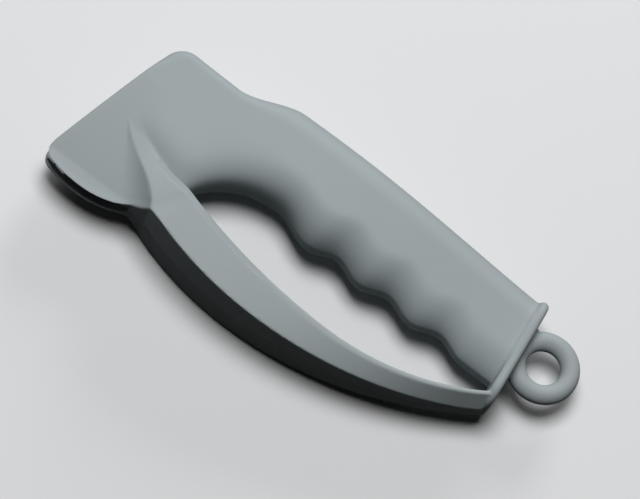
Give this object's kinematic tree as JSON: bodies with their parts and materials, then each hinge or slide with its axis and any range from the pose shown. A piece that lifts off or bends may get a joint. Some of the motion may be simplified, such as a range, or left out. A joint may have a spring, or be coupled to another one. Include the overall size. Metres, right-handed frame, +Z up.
{
  "type": "one-hand knife sharpener",
  "caption": "Hand-held knife sharpener with crossed blades in a slotted head, a grip with finger grooves, a full hand guard and a hanging ring.",
  "frame": {"origin": "middle of the bounding box, at the plane that the sharpener rests on when it lies on its side", "axes": "+X from the sharpening head to the hanging ring, +Y from the hand guard to the back of the grip, +Z up, out of the upper side of the casing"},
  "size_m": [0.1396, 0.0542, 0.0208],
  "materials": {
    "casing": "satin moulded grey, fine even texture",
    "insert": "plain moulded dark grey",
    "blade": "ground hard metal, fine straight grinding marks"
  },
  "bodies": {
    "root": {"near_shell": "casing", "far_shell": "casing", "blade_holder": "insert", "front_blade": "blade", "rear_blade": "blade"}
  },
  "joints": []
}
